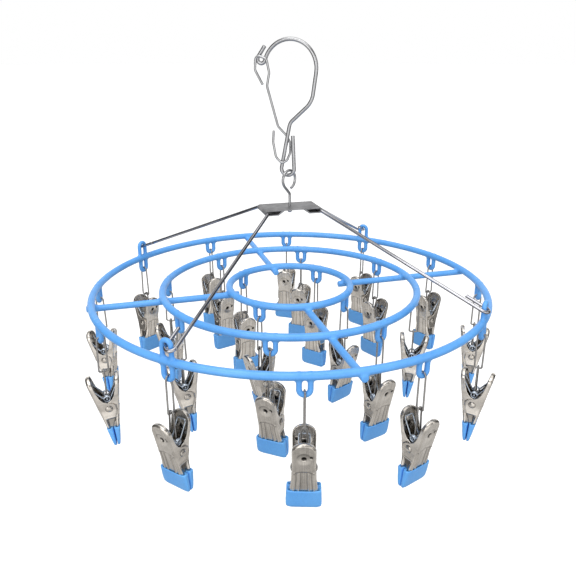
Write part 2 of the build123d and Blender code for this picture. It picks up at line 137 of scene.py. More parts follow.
def rounded(points, radii, step=8.0):
    """A polyline with each inner corner replaced by an arc of the given radius."""
    points = [np.asarray(p, float) for p in points]
    if not hasattr(radii, "__len__"):
        radii = [radii] * (len(points) - 2)
    out = [points[0]]
    for i, radius in enumerate(radii, start=1):
        before, corner, after = points[i - 1], points[i], points[i + 1]
        a, b = unit(before - corner), unit(after - corner)
        half = math.acos(max(-1.0, min(1.0, a @ b))) / 2
        if half > math.radians(89.5):
            continue
        run = radius / math.tan(half)
        centre = corner + unit(a + b) * radius / math.sin(half)
        first, last = corner + a * run - centre, corner + b * run - centre
        angle = math.acos(max(-1.0, min(1.0, unit(first) @ unit(last))))
        side = unit(last - unit(first) * (last @ unit(first)))
        count = max(2, int(math.degrees(angle) / step) + 1)
        for k in range(count + 1):
            t = angle * k / count
            out.append(centre + radius * (math.cos(t) * unit(first) + math.sin(t) * side))
    out.append(points[-1])
    return out


def resample(path, spacing):
    """The path with points added wherever two stand further apart than the spacing."""
    path = np.asarray(path, float)
    lengths = np.concatenate([[0.0], np.cumsum(np.linalg.norm(np.diff(path, axis=0), axis=1))])
    extra = [lengths]
    for a, b in zip(lengths[:-1], lengths[1:]):
        if b - a > spacing:
            extra.append(np.linspace(a, b, int((b - a) / spacing) + 2)[1:-1])
    where = np.unique(np.concatenate(extra))
    where = where[np.concatenate([[True], np.diff(where) > 1e-4])]
    return np.stack([np.interp(where, lengths, path[:, k]) for k in range(3)], axis=1)


def build_mesh(name, parts):
    """One mesh from (vertices, faces, coordinates, material index) parts in millimetres."""
    verts, faces, coords, slots = [], [], [], []
    for part_verts, part_faces, part_coords, material in parts:
        base = len(verts)
        verts.extend(np.asarray(part_verts) * MM)
        coords.extend(part_coords)
        faces.extend(tuple(base + i for i in face) for face in part_faces)
        slots.extend([material] * len(part_faces))
    mesh = bpy.data.meshes.new(name)
    mesh.from_pydata([tuple(v) for v in verts], [], faces)
    attribute = mesh.attributes.new("wire", "FLOAT_VECTOR", "POINT")
    attribute.data.foreach_set("vector", np.asarray(coords, np.float32).ravel())
    mesh.polygons.foreach_set("material_index", slots)
    mesh.polygons.foreach_set("use_smooth", [True] * len(mesh.polygons))
    mesh.update()
    return mesh


def place(name, mesh, materials, matrix=None):
    """Puts a mesh in the scene, and gives it its materials if it has none yet."""
    obj = bpy.data.objects.new(name, mesh)
    bpy.context.scene.collection.objects.link(obj)
    if not mesh.materials:
        for material in materials:
            mesh.materials.append(material)
    if matrix is not None:
        obj.matrix_world = matrix
    return obj


def apply_modifiers(obj):
    """Bakes the modifiers into the object's own mesh."""
    bpy.context.view_layer.update()
    graph = bpy.context.evaluated_depsgraph_get()
    mesh = bpy.data.meshes.new_from_object(obj.evaluated_get(graph), depsgraph=graph)
    obj.modifiers.clear()
    old = obj.data
    obj.data = mesh
    bpy.data.meshes.remove(old)


# ------------------------------------------------------------------ materials
class Nodes:
    """Short names for building a node tree. A value is a socket, a number or a colour."""

    def __init__(self, tree):
        self.tree = tree

    def node(self, kind, **values):
        node = self.tree.nodes.new(kind)
        for key, value in values.items():
            setattr(node, key, value)
        return node

    def link(self, out, into):
        self.tree.links.new(out, into)

    def feed(self, value, socket):
        if hasattr(value, "links"):
            self.link(value, socket)
        else:
            socket.default_value = (*value, 1.0) if hasattr(value, "__len__") else value

    def ramp(self, value, stops):
        ramp = self.node("ShaderNodeValToRGB")
        elements = ramp.color_ramp.elements
        while len(elements) < len(stops):
            elements.new(0.5)
        for element, (position, colour) in zip(elements, stops):
            element.position = position
            element.color = (*colour, 1.0) if hasattr(colour, "__len__") else (colour, colour, colour, 1.0)
        self.link(value, ramp.inputs["Fac"])
        return ramp.outputs["Color"]

    def mix(self, kind, factor, a, b):
        mix = self.node("ShaderNodeMix", data_type="RGBA", blend_type=kind)
        for value, name in ((factor, "Factor"), (a, "A"), (b, "B")):
            self.feed(value, mix.inputs[name])
        return mix.outputs["Result"]

    def maths(self, kind, a, b):
        node = self.node("ShaderNodeMath", operation=kind)
        self.feed(a, node.inputs[0])
        self.feed(b, node.inputs[1])
        return node.outputs["Value"]


class Shader(Nodes):
    """A new material's nodes, round its principled shader."""

    def __init__(self, name):
        self.material = bpy.data.materials.new(name)
        self.material.use_nodes = True
        super().__init__(self.material.node_tree)
        self.shader = self.tree.nodes["Principled BSDF"]

    def position(self):
        return self.node("ShaderNodeTexCoord").outputs["Object"]

    def wire(self):
        return self.node("ShaderNodeAttribute", attribute_name="wire").outputs["Vector"]

    def scaled(self, vector, scale):
        mapping = self.node("ShaderNodeMapping")
        mapping.inputs["Scale"].default_value = scale
        self.link(vector, mapping.inputs["Vector"])
        return mapping.outputs["Vector"]

    def noise(self, vector, scale, detail=3.0, rough=0.55):
        noise = self.node("ShaderNodeTexNoise")
        noise.inputs["Scale"].default_value = scale
        noise.inputs["Detail"].default_value = detail
        noise.inputs["Roughness"].default_value = rough
        self.link(vector, noise.inputs["Vector"])
        return noise.outputs["Fac"]

    def bump(self, height, strength, distance):
        bump = self.node("ShaderNodeBump")
        bump.inputs["Strength"].default_value = strength
        bump.inputs["Distance"].default_value = distance
        self.link(height, bump.inputs["Height"])
        previous = self.shader.inputs["Normal"]
        if previous.is_linked:
            self.link(previous.links[0].from_socket, bump.inputs["Normal"])
        self.link(bump.outputs["Normal"], previous)

    def set(self, **values):
        for key, value in values.items():
            self.feed(value, self.shader.inputs[key.replace("_", " ")])


def dipped_plastic(name, light, dark, rough):
    """Soft glossy vinyl: cloudy tone, fine skin texture and slow waves left by dipping."""
    s = Shader(name)
    spot = s.position()
    cloud = s.noise(spot, 55.0, 4.0)
    speck = s.noise(spot, 900.0, 2.0)
    base = s.ramp(cloud, [(0.30, dark), (0.72, light)])
    tone = s.ramp(speck, [(0.35, 0.93), (0.7, 1.0)])
    s.set(Base_Color=s.mix("MULTIPLY", 1.0, base, tone))
    s.set(Roughness=s.ramp(s.noise(spot, 160.0, 3.0), [(0.3, rough - 0.07), (0.75, rough + 0.09)]))
    s.bump(s.noise(spot, 130.0, 2.0), 0.25, 0.0006)
    s.bump(speck, 0.12, 0.0002)
    s.set(IOR=1.5, Coat_Weight=0.12, Coat_Roughness=0.2)
    return s.material


def drawn_wire(name, light, dark, rough, reflection_streaks=None):
    """Drawn wire: fine lines along its length, dull patches and small handling marks.

    Where a band frequency is given, wide dark bands of painted reflection are added along the wire, at that
    frequency round it.
    """
    s = Shader(name)
    around = s.wire()
    lines = s.noise(s.scaled(around, (9.0, 9.0, 0.12)), 1.0, 4.0)
    patches = s.noise(s.position(), 70.0, 3.0)
    marks = s.noise(s.scaled(around, (2.5, 2.5, 1.6)), 1.0, 5.0, 0.7)
    base = s.ramp(lines, [(0.32, dark), (0.62, light)])
    tone = s.ramp(patches, [(0.3, 0.82), (0.7, 1.0)])
    base = s.mix("MULTIPLY", 1.0, base, tone)
    if reflection_streaks:
        # Painted reflection: wide dark bands along the wire.
        dark_reflection = s.noise(s.scaled(around, (reflection_streaks, reflection_streaks, 0.012)), 1.0, 2.0)
        base = s.mix("MULTIPLY", 1.0, base, s.ramp(dark_reflection, [(0.44, 0.32), (0.56, 1.0)]))
    s.set(Base_Color=base, Metallic=1.0)
    s.set(Roughness=s.ramp(marks, [(0.35, rough - 0.06), (0.7, rough + 0.12)]))
    s.bump(lines, 0.2, 0.00008)
    s.bump(marks, 0.15, 0.0001)
    return s.material


def rolled_steel(name, light, dark, rough, painted_shade=False):
    """Stamped stainless sheet: rolling lines down the strip, smudges and fine scratches.

    With painted shade, the sheet is darker by the first of the mesh's wire coordinates: shade painted into
    holes and stamped corners.
    """
    s = Shader(name)
    spot = s.position()
    lines = s.noise(s.scaled(spot, (1.0, 1500.0, 30.0)), 1.0, 4.0, 0.6)
    smudge = s.noise(spot, 110.0, 4.0, 0.6)
    scratch = s.noise(s.scaled(spot, (300.0, 4200.0, 120.0)), 1.0, 2.0)
    base = s.ramp(lines, [(0.3, dark), (0.68, light)])
    tone = s.ramp(smudge, [(0.28, 0.74), (0.62, 1.0)])
    base = s.mix("MULTIPLY", 1.0, base, tone)
    if painted_shade:
        # Painted shade: the first wire coordinate darkens holes, creases, grooves and pressed pockets.
        split = s.node("ShaderNodeSeparateXYZ")
        s.link(s.wire(), split.inputs["Vector"])
        shade = s.ramp(split.outputs["X"], [(0.0, 1.0), (0.5, 0.45), (1.0, 0.02)])
        base = s.mix("MULTIPLY", 1.0, base, shade)
    s.set(Base_Color=base, Metallic=1.0)
    s.set(Roughness=s.ramp(smudge, [(0.3, rough + 0.12), (0.75, rough - 0.05)]))
    s.bump(smudge, 0.35, 0.0005)
    s.bump(scratch, 0.15, 0.00008)
    return s.material


coating = dipped_plastic("blue_coating", (0.15, 0.47, 1.0), (0.11, 0.40, 0.93), 0.36)
sleeve_vinyl = dipped_plastic("blue_sleeve", (0.16, 0.49, 1.0), (0.12, 0.42, 0.95), 0.42)
clip_steel = rolled_steel("clip_steel", (0.92, 0.865, 0.79), (0.64, 0.59, 0.53), 0.19, painted_shade=True)
# The spring steel's blue tint is a painted bluish reflection.
spring_steel = drawn_wire("spring_steel", (0.74, 0.82, 0.92), (0.50, 0.57, 0.66), 0.24)
link_steel = drawn_wire("link_steel", (0.52, 0.50, 0.48), (0.33, 0.32, 0.31), 0.28)
bright_wire = drawn_wire("bright_wire", (0.70, 0.70, 0.74), (0.50, 0.50, 0.54), 0.14, reflection_streaks=1.1)
hook_wire = drawn_wire("hook_wire", (0.62, 0.62, 0.63), (0.46, 0.46, 0.47), 0.25)
plate_steel = rolled_steel("plate_steel", (0.42, 0.42, 0.43), (0.33, 0.33, 0.34), 0.42)

# ------------------------------------------------------------------ dipped rack
# Sizes are in millimetres, and heights are measured from the rings' plane unless RING_Z is added.
RING_WIRE, SPOKE_WIRE, EAR_WIRE, EYE_WIRE = 2.9, 2.6, 1.9, 1.75
OUTER, MIDDLE, INNER = (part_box(f"{name}_ring")[1].x / MM - RING_WIRE for name in ("outer", "middle", "inner"))
SPOKE_DROP, SPOKE_START, SPOKE_END = 3.6, 44.0, 163.2
EAR_BEND, EAR_BEND_Z, EAR_END_Z = 3.55, -9.2, 2.4
EYE_BEND, EYE_BEND_Z, EYE_FOOT_Z = 3.65, 10.95, -1.0
CLOSING = 0.85  # the coating fills inner corners to about this radius
VOXEL = 0.5


def polar(radius, angle, side=0.0, height=0.0):
    """A point at an angle round the rack, moved to the side along the ring."""
    a = math.radians(angle)
    x = radius * math.cos(a) - side * math.sin(a)
    y = radius * math.sin(a) + side * math.cos(a)
    return np.array([x, y, height])


def u_bend(radius, angle, bend, bend_z, end_z, upward):
    """A U of wire across the rack's radius: a clip's ear hangs, an arm eye stands upward."""
    path = [polar(radius, angle, bend, RING_Z + end_z)]
    for t in np.linspace(0, math.pi, 22):
        height = RING_Z + bend_z + upward * bend * math.sin(t)
        path.append(polar(radius, angle, bend * math.cos(t), height))
    path.append(polar(radius, angle, -bend, RING_Z + end_z))
    return resample(path, 1.0)


stations = []
for number in range(1, 25):
    spot = joints[f"clip_{number:02d}_swing"]["pos_m"]
    stations.append((math.hypot(spot[0], spot[1]) / MM, math.degrees(math.atan2(spot[1], spot[0]))))

# The wires are drawn too thick by CLOSING, skinned as one and shrunk back, as if dipped.
wires = []
for radius, step in ((OUTER, 2.0), (MIDDLE, 2.0), (INNER, 4.0)):
    path = [polar(radius, a, height=RING_Z) for a in np.arange(0, 360, step)]
    wires.append(tube(path, RING_WIRE + CLOSING, 20, closed=True))
for angle in (0, 90, 180, 270):
    path = [polar(r, angle, height=RING_Z - SPOKE_DROP) for r in np.linspace(SPOKE_START, SPOKE_END, 30)]
    wires.append(tube(path, SPOKE_WIRE + CLOSING, 18, end_round=1.6))
for radius, angle in stations:
    path = u_bend(radius, angle, EAR_BEND, EAR_BEND_Z, EAR_END_Z, -1)
    wires.append(tube(path, EAR_WIRE + CLOSING, 14, end_round=1.4))
for angle in (45, 135, 225, 315):
    path = u_bend(OUTER, angle, EYE_BEND, EYE_BEND_Z, EYE_FOOT_Z, 1)
    wires.append(tube(path, EYE_WIRE + CLOSING, 14, end_round=1.4))
rack = place("dipped_rack", build_mesh("dipped_rack", [(*wire, 0) for wire in wires]), [coating])
remesh = rack.modifiers.new("skin", "REMESH")
remesh.mode = "VOXEL"
remesh.voxel_size = VOXEL * MM
remesh.use_smooth_shade = True
shrink = rack.modifiers.new("shrink", "DISPLACE")
shrink.strength = -CLOSING * MM
shrink.mid_level = 0.0
smooth = rack.modifiers.new("smooth", "SMOOTH")
smooth.factor = 0.5
smooth.iterations = 4
apply_modifiers(rack)
rack.data.materials.clear()
rack.data.materials.append(coating)
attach(rack, "rack")
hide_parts("outer_ring", "middle_ring", "inner_ring", "cross_spokes", "clip_ears", "arm_eyes")

# ------------------------------------------------------------------ clips
# One clip is drawn about its coil's axis: X outward, Y along the jaws, Z up.
COIL_Z = -58.3  # from the rings' plane
PIVOT_Z = -7.0
SHEET = 0.6
BEND = 1.1  # radius at which the leaf turns into its side plates
TOP_Z, FOOT_Z = 18.5, -33.5
TOP_ROUND, TOP_HALF = 6.6, 7.7  # height and half-width of the handle's round top
TOP_ROWS, LONG_ROWS, FACE_POINTS, BEND_POINTS, SIDE_POINTS = 12, 112, 57, 5, 7
LEAF_Z = [18.5, -3.0, -25.5, -36.9]
LEAF_X = [12.0, 8.0, 3.5, 1.9]
# Pairs of a height and the leaf's half-width there, and of a height and its side plate's depth.
FRONT_WIDTH = [
    (12.0, 7.7), (-8.5, 7.7), (-13.5, 8.1), (-17.5, 8.7), (-21.5, 9.3), (-25.5, 9.6), (-38.5, 9.6),
]
REAR_WIDTH = [
    (12.0, 7.7), (3.5, 7.6), (-1.5, 7.0), (-13.5, 7.0),
    (-17.5, 7.7), (-22.0, 9.0), (-25.5, 9.6), (-38.5, 9.6),
]
FLANGE = [
    (18.5, 1.5), (12.5, 1.7), (7.5, 2.0), (2.5, 2.8), (-0.6, 4.3), (-2.5, 7.4), (-3.6, 10.8),
    (-5.2, 12.3), (-9.0, 11.6), (-13.5, 8.9), (-19.5, 4.9), (-23.5, 2.2), (-27.5, 1.0), (-38.5, 0.8),
]
RIB_TOP, RIB_FOOT, RIB_HEIGHT, RIB_WIDTH = -4.6, -25.0, 0.6, 0.62
RIBS = (-6.0, -3.1, 3.1, 6.0)
STEP_Z, STEP_HEIGHT = -4.6, 0.4  # the stamped step over the ribs
POCKET_TOP, POCKET_FOOT, POCKET_DEPTH = -14.5, -26.0, 1.2  # where the side plates are pressed in
DISH_Z, DISH_R, DISH_DEPTH = 6.6, 5.0, 0.55
HOLES = ((0.0, -0.2, 1.75), (4.5, 1.2, 1.1))  # from the dish's centre, with their radii


def smooth_step(low, high, value):
    """0 below low, 1 above high, and smooth between."""
    t = np.clip((value - low) / (high - low), 0, 1)
    return t * t * (3 - 2 * t)


def ridge(offset, width):
    """1 at no offset, falling off like a bell."""
    return math.exp(-(offset / width) ** 2)


def table(stops, z):
    """The value at a height, from pairs of heights and values in any order."""
    zs, values = zip(*sorted(stops))
    return float(np.interp(z, zs, values))


def relief(y, z):
    """Height of the stamped face above its plain surface, and the painted shade there: along the step, round
    the dish's rim, in the holes and in the grooves beside the ribs.
    """
    bowed = z + 0.04 * y * y - STEP_Z
    height = STEP_HEIGHT * smooth_step(-0.5, 0.4, bowed)
    shade = 0.24 * ridge(bowed + 0.3, 0.6)
    above_dish = z - DISH_Z
    spot = math.hypot(y, above_dish)
    height -= DISH_DEPTH * (1 - smooth_step(DISH_R - 3.2, DISH_R + 0.4, spot))
    shade = max(shade, 0.32 * ridge(spot - DISH_R + 0.6, 0.45) * smooth_step(-1.0, 3.0, above_dish))
    for across, rise, radius in HOLES:
        gap = math.hypot(y - across, above_dish - rise)
        height -= 1 - smooth_step(radius * 0.55, radius * 1.1, gap)
        shade = max(shade, 1 - smooth_step(radius * 0.6, radius * 1.15, gap))
    along = smooth_step(RIB_FOOT, RIB_FOOT + 2.5, z) * (1 - smooth_step(RIB_TOP - 2.0, RIB_TOP, z))
    flare = 1 + 0.012 * max(0.0, -12.0 - z)
    for rib in RIBS:
        height += RIB_HEIGHT * along * ridge(y - rib * flare, RIB_WIDTH)
        shade = max(shade, 0.45 * along * ridge(abs(y) - abs(rib) * flare + 1.05, 0.34))
    return height, shade


def leaf_outline(widths):
    """From the top down: half-width, height and the outline's normal in Y and Z."""
    outline = []
    for k in range(TOP_ROWS):
        t = math.pi / 2 * (k / (TOP_ROWS - 1)) ** 0.9
        height = TOP_Z - TOP_ROUND * (1 - math.cos(t))
        outline.append((TOP_HALF * math.sin(t), height, math.sin(t), math.cos(t)))
    for z in np.linspace(TOP_Z - TOP_ROUND, FOOT_Z, LONG_ROWS)[1:]:
        slope = table(widths, z - 0.5) - table(widths, z + 0.5)
        normal = unit(np.array([1.0, -slope]))
        outline.append((table(widths, z), z, normal[0], normal[1]))
    return outline


def leaf_row(width, z, normal_y, normal_z, sign):
    """One row of points across a leaf, from plate to plate, with the shade at each of them."""
    y_in, z_in = max(width - BEND * normal_y, 0.0), z - BEND * normal_z
    x = float(np.interp(z_in, LEAF_Z[::-1], LEAF_X[::-1]))
    pressed = smooth_step(POCKET_FOOT, POCKET_FOOT + 1.5, z)
    pressed *= 1 - smooth_step(POCKET_TOP - 1.2, POCKET_TOP, z)
    right, side_shades = [], [0.0] * BEND_POINTS
    for step in range(1, BEND_POINTS + 1):
        t = math.pi / 2 * step / BEND_POINTS
        reach = BEND * math.sin(t)
        right.append((x - BEND * (1 - math.cos(t)), y_in + reach * normal_y, z_in + reach * normal_z))
    for step in range(1, SIDE_POINTS + 1):
        inward = pressed * smooth_step(0, 2, step)
        y = y_in + BEND * normal_y - POCKET_DEPTH * inward
        right.append((x - BEND - table(FLANGE, z) * step / SIDE_POINTS, y, z_in + BEND * normal_z))
        # Painted shade in the pressed-in pocket of the side plate.
        side_shades.append(0.5 * inward)
    left = [(a, -b, c) for a, b, c in reversed(right)]
    face, shades = [], []
    for k in range(FACE_POINTS):
        y = y_in * (2 * k / (FACE_POINTS - 1) - 1)
        height, shade = relief(y * sign, z_in)
        face.append((x + height, y, z_in))
        shades.append(shade)
    return left + face + right, side_shades[::-1] + shades + side_shades


def leaf(widths, sign):
    """A stamped leaf: a face with relief, a round top, and sides bent in to hold the pivot."""
    verts, shades, faces = [], [], []
    outline = leaf_outline(widths)
    for place_on_edge in outline:
        row, row_shades = leaf_row(*place_on_edge, sign)
        verts.extend(row)
        shades.extend(row_shades)
    across = len(row)
    for i in range(len(outline) - 1):
        for k in range(across - 1):
            a = i * across + k
            faces.append((a, a + 1, a + across + 1, a + across))
    verts = np.array(verts)
    coords = np.stack([shades, verts[:, 1], verts[:, 2]], axis=1)
    verts[:, 0] *= sign
    mesh = build_mesh("leaf", [(verts, faces, coords, 0)])
    work = bmesh.new()
    work.from_mesh(mesh)
    bmesh.ops.remove_doubles(work, verts=work.verts, dist=0.02 * MM)
    bmesh.ops.recalc_face_normals(work, faces=work.faces)
    on_face = Vector((sign * 6, 0, -14)) * MM
    probe = min(work.faces, key=lambda face: (face.calc_center_median() - on_face).length)
    if probe.normal.x * sign < 0:
        bmesh.ops.reverse_faces(work, faces=work.faces)
    work.to_mesh(mesh)
    work.free()
    obj = place("leaf_work", mesh, [clip_steel])
    solid = obj.modifiers.new("sheet", "SOLIDIFY")
    solid.thickness = SHEET * MM
    solid.offset = -1.0
    solid.use_even_offset = False
    apply_modifiers(obj)
    thick = obj.data
    bpy.data.objects.remove(obj)
    return thick


def lathe(profile, centre, axis, shades=None, segments=24):
    """A closed turned piece from (distance along the axis, radius) pairs, with a shade for each."""
    axis = unit(np.asarray(axis, float))
    start = np.array([1.0, 0.0, 0.0]) if abs(axis[0]) < 0.9 else np.array([0.0, 0.0, 1.0])
    across = unit(np.cross(axis, start))
    other = np.cross(axis, across)
    verts, faces = [], []
    for along, radius in profile:
        for k in range(segments):
            a = 2 * math.pi * k / segments
            spot = np.asarray(centre, float) + axis * along
            verts.append(spot + radius * (math.cos(a) * across + math.sin(a) * other))
    for i in range(len(profile) - 1):
        for k in range(segments):
            a, b = i * segments + k, i * segments + (k + 1) % segments
            faces.append((a, b, b + segments, a + segments))
    faces.append(tuple(range(segments))[::-1])
    faces.append(tuple((len(profile) - 1) * segments + k for k in range(segments)))
    verts = np.array(verts)
    coords = np.outer(np.repeat(shades, segments), X) if shades else verts.copy()
    return verts, faces, coords


SLEEVE_FOOT, SLEEVE_TOP, SLEEVE_HALF_WIDTH, SLEEVE_GAP = -37.7, -22.3, 11.7, 0.15
SLEEVE_LEVELS = [  # height, share of the width and share of the thickness
    (SLEEVE_FOOT, 0.76, 0.50), (-37.5, 0.86, 0.72), (-36.9, 0.94, 0.90), (-35.9, 0.98, 0.98),
    (-34.4, 1.0, 1.0), (-32.5, 1.005, 1.02), (-29.5, 1.0, 1.02), (-26.5, 0.985, 1.0),
    (-24.0, 0.975, 0.99), (-23.0, 0.97, 0.98), (-22.5, 0.955, 0.95), (SLEEVE_TOP, 0.935, 0.89),
]
SLEEVE_FRONT = [(SLEEVE_FOOT, 2.35), (-25.5, 4.55), (SLEEVE_TOP, 5.3)]  # height, distance of the outer face
SLEEVE_MOUTH = [(-22.45, 4.35, 9.9), (-26.0, 3.9, 9.8)]  # height, outer reach, half-width
SLEEVE_MOUTH_BACK = 1.6
SLEEVE_POINTS = 56


def squared_ring(centre_x, half_x, half_y, x_power, y_power):
    """Points of a rounded rectangle. Smaller powers give squarer corners."""
    for k in range(SLEEVE_POINTS):
        a = 2 * math.pi * k / SLEEVE_POINTS
        c, s = math.cos(a), math.sin(a)
        x = centre_x + half_x * math.copysign(abs(c) ** x_power, c)
        yield x, half_y * math.copysign(abs(s) ** y_power, s)


def sleeve(sign):
    """A soft sleeve pushed onto a jaw: a rounded box, open at the top where its rim turns in."""
    verts, faces = [], []
    for z, wide, thick in SLEEVE_LEVELS:
        half = (table(SLEEVE_FRONT, z) - SLEEVE_GAP) / 2 * thick
        for x, y in squared_ring(SLEEVE_GAP + half, half, SLEEVE_HALF_WIDTH * wide, 0.45, 0.34):
            lift = 0.4 * smooth_step(6.5, 11.5, abs(y)) * smooth_step(-29.0, -22.9, z)
            drop = 0.5 * smooth_step(8.0, 11.7, abs(y)) * (1 - smooth_step(SLEEVE_FOOT, -35.5, z))
            verts.append((x, y, z + lift + drop))
    for z, reach, wide in SLEEVE_MOUTH:
        middle, half = (reach + SLEEVE_MOUTH_BACK) / 2, (reach - SLEEVE_MOUTH_BACK) / 2
        for x, y in squared_ring(middle, half, wide, 0.35, 0.25):
            lift = 0.4 * smooth_step(6.5, 11.5, abs(y) * 1.15)
            verts.append((x, y, z + lift))
    rings = len(SLEEVE_LEVELS) + len(SLEEVE_MOUTH)
    for i in range(rings - 1):
        for k in range(SLEEVE_POINTS):
            a, b = i * SLEEVE_POINTS + k, i * SLEEVE_POINTS + (k + 1) % SLEEVE_POINTS
            faces.append((a, b, b + SLEEVE_POINTS, a + SLEEVE_POINTS))
    faces.append(tuple(range(SLEEVE_POINTS))[::-1])
    faces.append(tuple((rings - 1) * SLEEVE_POINTS + k for k in range(SLEEVE_POINTS)))
    verts = np.array(verts)
    if sign < 0:
        verts[:, 0] *= -1
        faces = [face[::-1] for face in faces]
    return verts, faces, verts.copy()


def joined(name, meshes, parts, materials):
    """A mesh of ready meshes and new parts, with their material indices kept."""
    work = bmesh.new()
    temporary = build_mesh(name, parts)
    for mesh, index in [(temporary, None), *meshes]:
        before = len(work.faces)
        work.from_mesh(mesh)
        work.faces.ensure_lookup_table()
        if index is not None:
            for face in work.faces[before:]:
                face.material_index = index
    bmesh.ops.recalc_face_normals(work, faces=work.faces)
    out = bpy.data.meshes.new(name)
    work.to_mesh(out)
    work.free()
    out.polygons.foreach_set("use_smooth", [True] * len(out.polygons))
    for material in materials:
        out.materials.append(material)
    return out


EAR_Z = EAR_BEND_Z - EAR_BEND  # centre of an ear's lowest wire
LINK_WIRE = 0.65
LINK_TOP, LINK_FOOT_HALF, LINK_FOOT_Z = 2.9, 3.6, -37.5  # the upper link's top bend and squared foot
LINK_EYE, STIRRUP_HALF = 1.9, 2.6  # the lower link's eye and half the width between its legs
COIL_MEAN, COIL_OUTER_Y, COIL_INNER_Y = 2.35, 5.3, 3.4
COIL_START, COIL_SWEEP, COIL_POINTS = 211, 630, 43  # degrees, degrees and a count
SPRING_WIRE = 0.58
MIRROR_Y = np.array([1, -1, 1])


def upper_link(foot_half):
    """A loop of wire round the ear, drawn from the rings' plane. Its ends meet half-way down one side."""
    top = arc((0, 0, EAR_Z), LINK_TOP, 0, 180, X, Z)
    left, right = np.array([-foot_half, 0, LINK_FOOT_Z]), np.array([foot_half, 0, LINK_FOOT_Z])
    seam = top[-1] + (left - top[-1]) * 0.45
    gap = unit(left - top[-1]) * 0.1
    foot = rounded([seam + gap, left, right, top[0]], 1.3)
    return tube(resample([*foot[:-1], *top, seam - gap], 1.2), LINK_WIRE, 12, end_round=0.12)


def lower_link():
    """The stirrup that carries the coils, drawn from the rings' plane."""
    eye_z = LINK_FOOT_Z + 2 * LINK_WIRE + 0.15 - LINK_EYE
    leg = [(0, LINK_EYE, eye_z), (0, LINK_EYE, eye_z - 5.0)]
    leg += [(0, STIRRUP_HALF, COIL_Z + 4.0), (0, STIRRUP_HALF, COIL_Z)]
    bends = (3.0, 3.0, 0.75, 0.75, 3.0, 3.0)
    legs = rounded([np.array(spot) * MIRROR_Y for spot in leg] + leg[::-1], bends)
    eye = arc((0, 0, eye_z), LINK_EYE, 0, 180, Y, Z)
    return tube(resample([*legs, *eye[1:-1]], 1.2), LINK_WIRE, 12, closed=True)


def spring():
    """A double torsion spring. Its bridge bears on the rear handle between the two coils."""
    coil = []
    for share in np.linspace(0, 1, COIL_POINTS):
        a = math.radians(COIL_START + COIL_SWEEP * (1 - share))
        y = -COIL_OUTER_Y + (COIL_OUTER_Y - COIL_INNER_Y) * share
        coil.append(np.array([COIL_MEAN * math.cos(a), y, COIL_MEAN * math.sin(a)]))
    half_bridge = [coil[-1], np.array([-8.7, -3.7, 10.1]), np.array([-9.3, -3.6, 12.0])]
    bridge = half_bridge + [spot * MIRROR_Y for spot in half_bridge[::-1]]
    other = [spot * MIRROR_Y for spot in coil[::-1]]
    path = coil[:-1] + rounded(bridge, (1.5, 1.2, 1.2, 1.5)) + other[1:]
    return tube(resample(path, 0.9), SPRING_WIRE, 10, end_round=0.15)


def spring_arm(side):
    """A front arm of the spring, from its coil up to the front handle."""
    y = side * COIL_OUTER_Y
    path = rounded([(9.5, y, 11.6), (8.7, y, 9.2), (2.6, y, 1.4)], 1.5)
    return tube(resample(path, 0.9), SPRING_WIRE, 10, end_round=0.15)


def spindle():
    """The pin through both coils that the stirrup holds."""
    return tube(resample([(0, -5.4, 0), (0, 5.4, 0)], 1.0), LINK_WIRE, 12, end_round=0.2)


def bump(side):
    """The round boss on a front side plate, over the pivot, with painted shade round its foot."""
    profile = [(-0.3, 2.9), (0.0, 2.9), (0.2, 2.6), (0.75, 2.1), (1.1, 1.3), (1.2, 0.3)]
    return lathe(profile, (0, side * 7.6, PIVOT_Z), (0, side, 0), shades=(1.0, 1.0, 0.6, 0.0, 0.0, 0.0))


def link_for(lean):
    """The upper link is squeezed narrower over a clip whose open handle comes closer to it."""
    foot_half = LINK_FOOT_HALF - 0.6 * max(0.0, 4.0 - math.degrees(lean))
    return build_mesh("upper_link", [(*upper_link(foot_half), 0)])


def turn_about_z(degrees):
    return Matrix.Rotation(math.radians(degrees), 4, "Z")


front_leaf, rear_leaf = leaf(FRONT_WIDTH, 1), leaf(REAR_WIDTH, -1)
clip_steels = [clip_steel, spring_steel]
hanger_metal = joined("clip_hanger", [(rear_leaf, 0)], [(*spring(), 1), (*spindle(), 1)], clip_steels)
jaw_parts = [(*spring_arm(1), 1), (*spring_arm(-1), 1), (*bump(1), 0), (*bump(-1), 0)]
jaw_metal = joined("clip_jaw", [(front_leaf, 0)], jaw_parts, clip_steels)
front_sleeve = build_mesh("front_sleeve", [(*sleeve(1), 0)])
rear_sleeve = build_mesh("rear_sleeve", [(*sleeve(-1), 0)])
stirrup = build_mesh("lower_link", [(*lower_link(), 0)])

